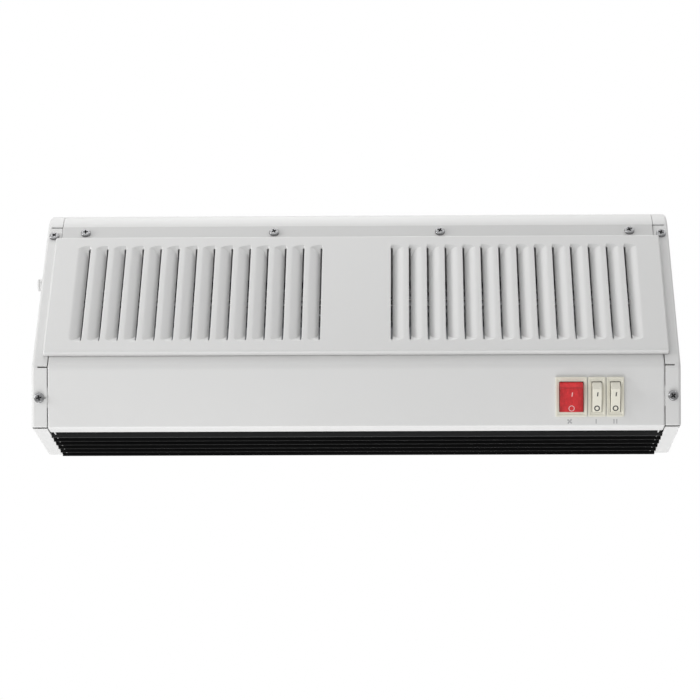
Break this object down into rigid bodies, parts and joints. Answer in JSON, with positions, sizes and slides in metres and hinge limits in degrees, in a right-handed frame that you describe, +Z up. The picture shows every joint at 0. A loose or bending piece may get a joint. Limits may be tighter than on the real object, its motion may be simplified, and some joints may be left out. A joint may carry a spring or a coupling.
{
  "type": "air curtain",
  "caption": "Wall-hung heated air curtain: wedge-section sheet-metal casing with a louvred intake, twin tangential fans, slatted outlet and rocker switches.",
  "frame": {"origin": "on the wall plane, midway between the two wall screw holes of the bracket", "axes": "+X along the unit to its right end seen from the front, +Y into the wall, +Z up"},
  "size_m": [0.5165, 0.1162, 0.2],
  "materials": {
    "coat": "fine semi-gloss powder coat, off-white",
    "inner_coat": "off-white powder coat",
    "galvanised": "galvanised sheet",
    "black_coat": "black satin coat",
    "zinc_screws": "bright zinc plate",
    "bright_steel": "ground steel",
    "fan_aluminium": "mill finish",
    "motor_steel": "plated steel",
    "copper_wire": "enamelled copper",
    "bronze": "sintered bronze",
    "rubber": "matt",
    "heater_sheath": "heat-darkened steel",
    "brass": "plain",
    "cream_plastic": "matt",
    "clip_plastic": "matt",
    "sleeve": "glass-fibre sleeve",
    "bush_plastic": "matt",
    "ivory_plastic": "moulded, satin",
    "ivory_rocker": "moulded, gloss",
    "red_rocker": "translucent red, gloss",
    "lamp_glass": "neon lamp"
  },
  "bodies": {
    "casing": {"rear_casing": "coat", "louvre_panel": "coat", "front_panel": "coat", "left_end_cap": "coat", "right_end_cap": "coat", "left_side_plate": "inner_coat", "right_side_plate": "inner_coat", "wall_bracket": "galvanised", "guard_wires": "zinc_screws", "outlet_fins": "black_coat", "fin_tie_rods": "zinc_screws", "fin_spacers": "black_coat", "left_scroll_guide": "galvanised", "right_scroll_guide": "galvanised", "duct_front_plate": "galvanised", "motor_housing": "motor_steel", "motor_stator": "motor_steel", "motor_windings": "copper_wire", "motor_bearings": "bronze", "motor_rubber_rings": "rubber", "motor_bracket": "galvanised", "motor_bracket_screws": "zinc_screws", "end_bearings": "bronze", "bearing_rubber_rings": "rubber", "heater_tubes": "heater_sheath", "heater_brackets": "galvanised", "heater_terminals": "brass", "thermal_cutout": "cream_plastic", "terminal_block": "cream_plastic", "terminal_screws": "brass", "run_capacitor": "cream_plastic", "wiring_loom": "sleeve", "wire_clips": "clip_plastic", "cable_bush": "bush_plastic", "fan_switch_body": "ivory_plastic", "heat_one_switch_body": "ivory_plastic", "heat_two_switch_body": "ivory_plastic", "switch_terminals": "brass", "switch_lamp": "lamp_glass", "strip_screws": "zinc_screws", "cap_screws": "zinc_screws"},
    "fan_rotor": {"left_fan": "fan_aluminium", "right_fan": "fan_aluminium", "stub_shafts": "bright_steel", "fan_hub_screws": "zinc_screws", "motor_shaft": "bright_steel", "motor_rotor": "motor_steel"},
    "fan_rocker_body": {"fan_rocker": "red_rocker"},
    "heat_one_rocker_body": {"heat_one_rocker": "ivory_rocker"},
    "heat_two_rocker_body": {"heat_two_rocker": "ivory_rocker"}
  },
  "joints": [
    {"name": "fan_spin", "type": "hinge", "parent": "casing", "child": "fan_rotor", "pos_m": [0, -0.04, -0.045], "axis": [1, 0, 0], "continuous": true},
    {"name": "fan_rocker_tip", "type": "hinge", "parent": "casing", "child": "fan_rocker_body", "pos_m": [0.1692, -0.10222, -0.13082], "axis": [-1, 0, 0], "range_deg": [0, 28]},
    {"name": "heat_one_rocker_tip", "type": "hinge", "parent": "casing", "child": "heat_one_rocker_body", "pos_m": [0.1891, -0.10222, -0.13082], "axis": [-1, 0, 0], "range_deg": [0, 28]},
    {"name": "heat_two_rocker_tip", "type": "hinge", "parent": "casing", "child": "heat_two_rocker_body", "pos_m": [0.20355, -0.10222, -0.13082], "axis": [-1, 0, 0], "range_deg": [0, 28]}
  ]
}
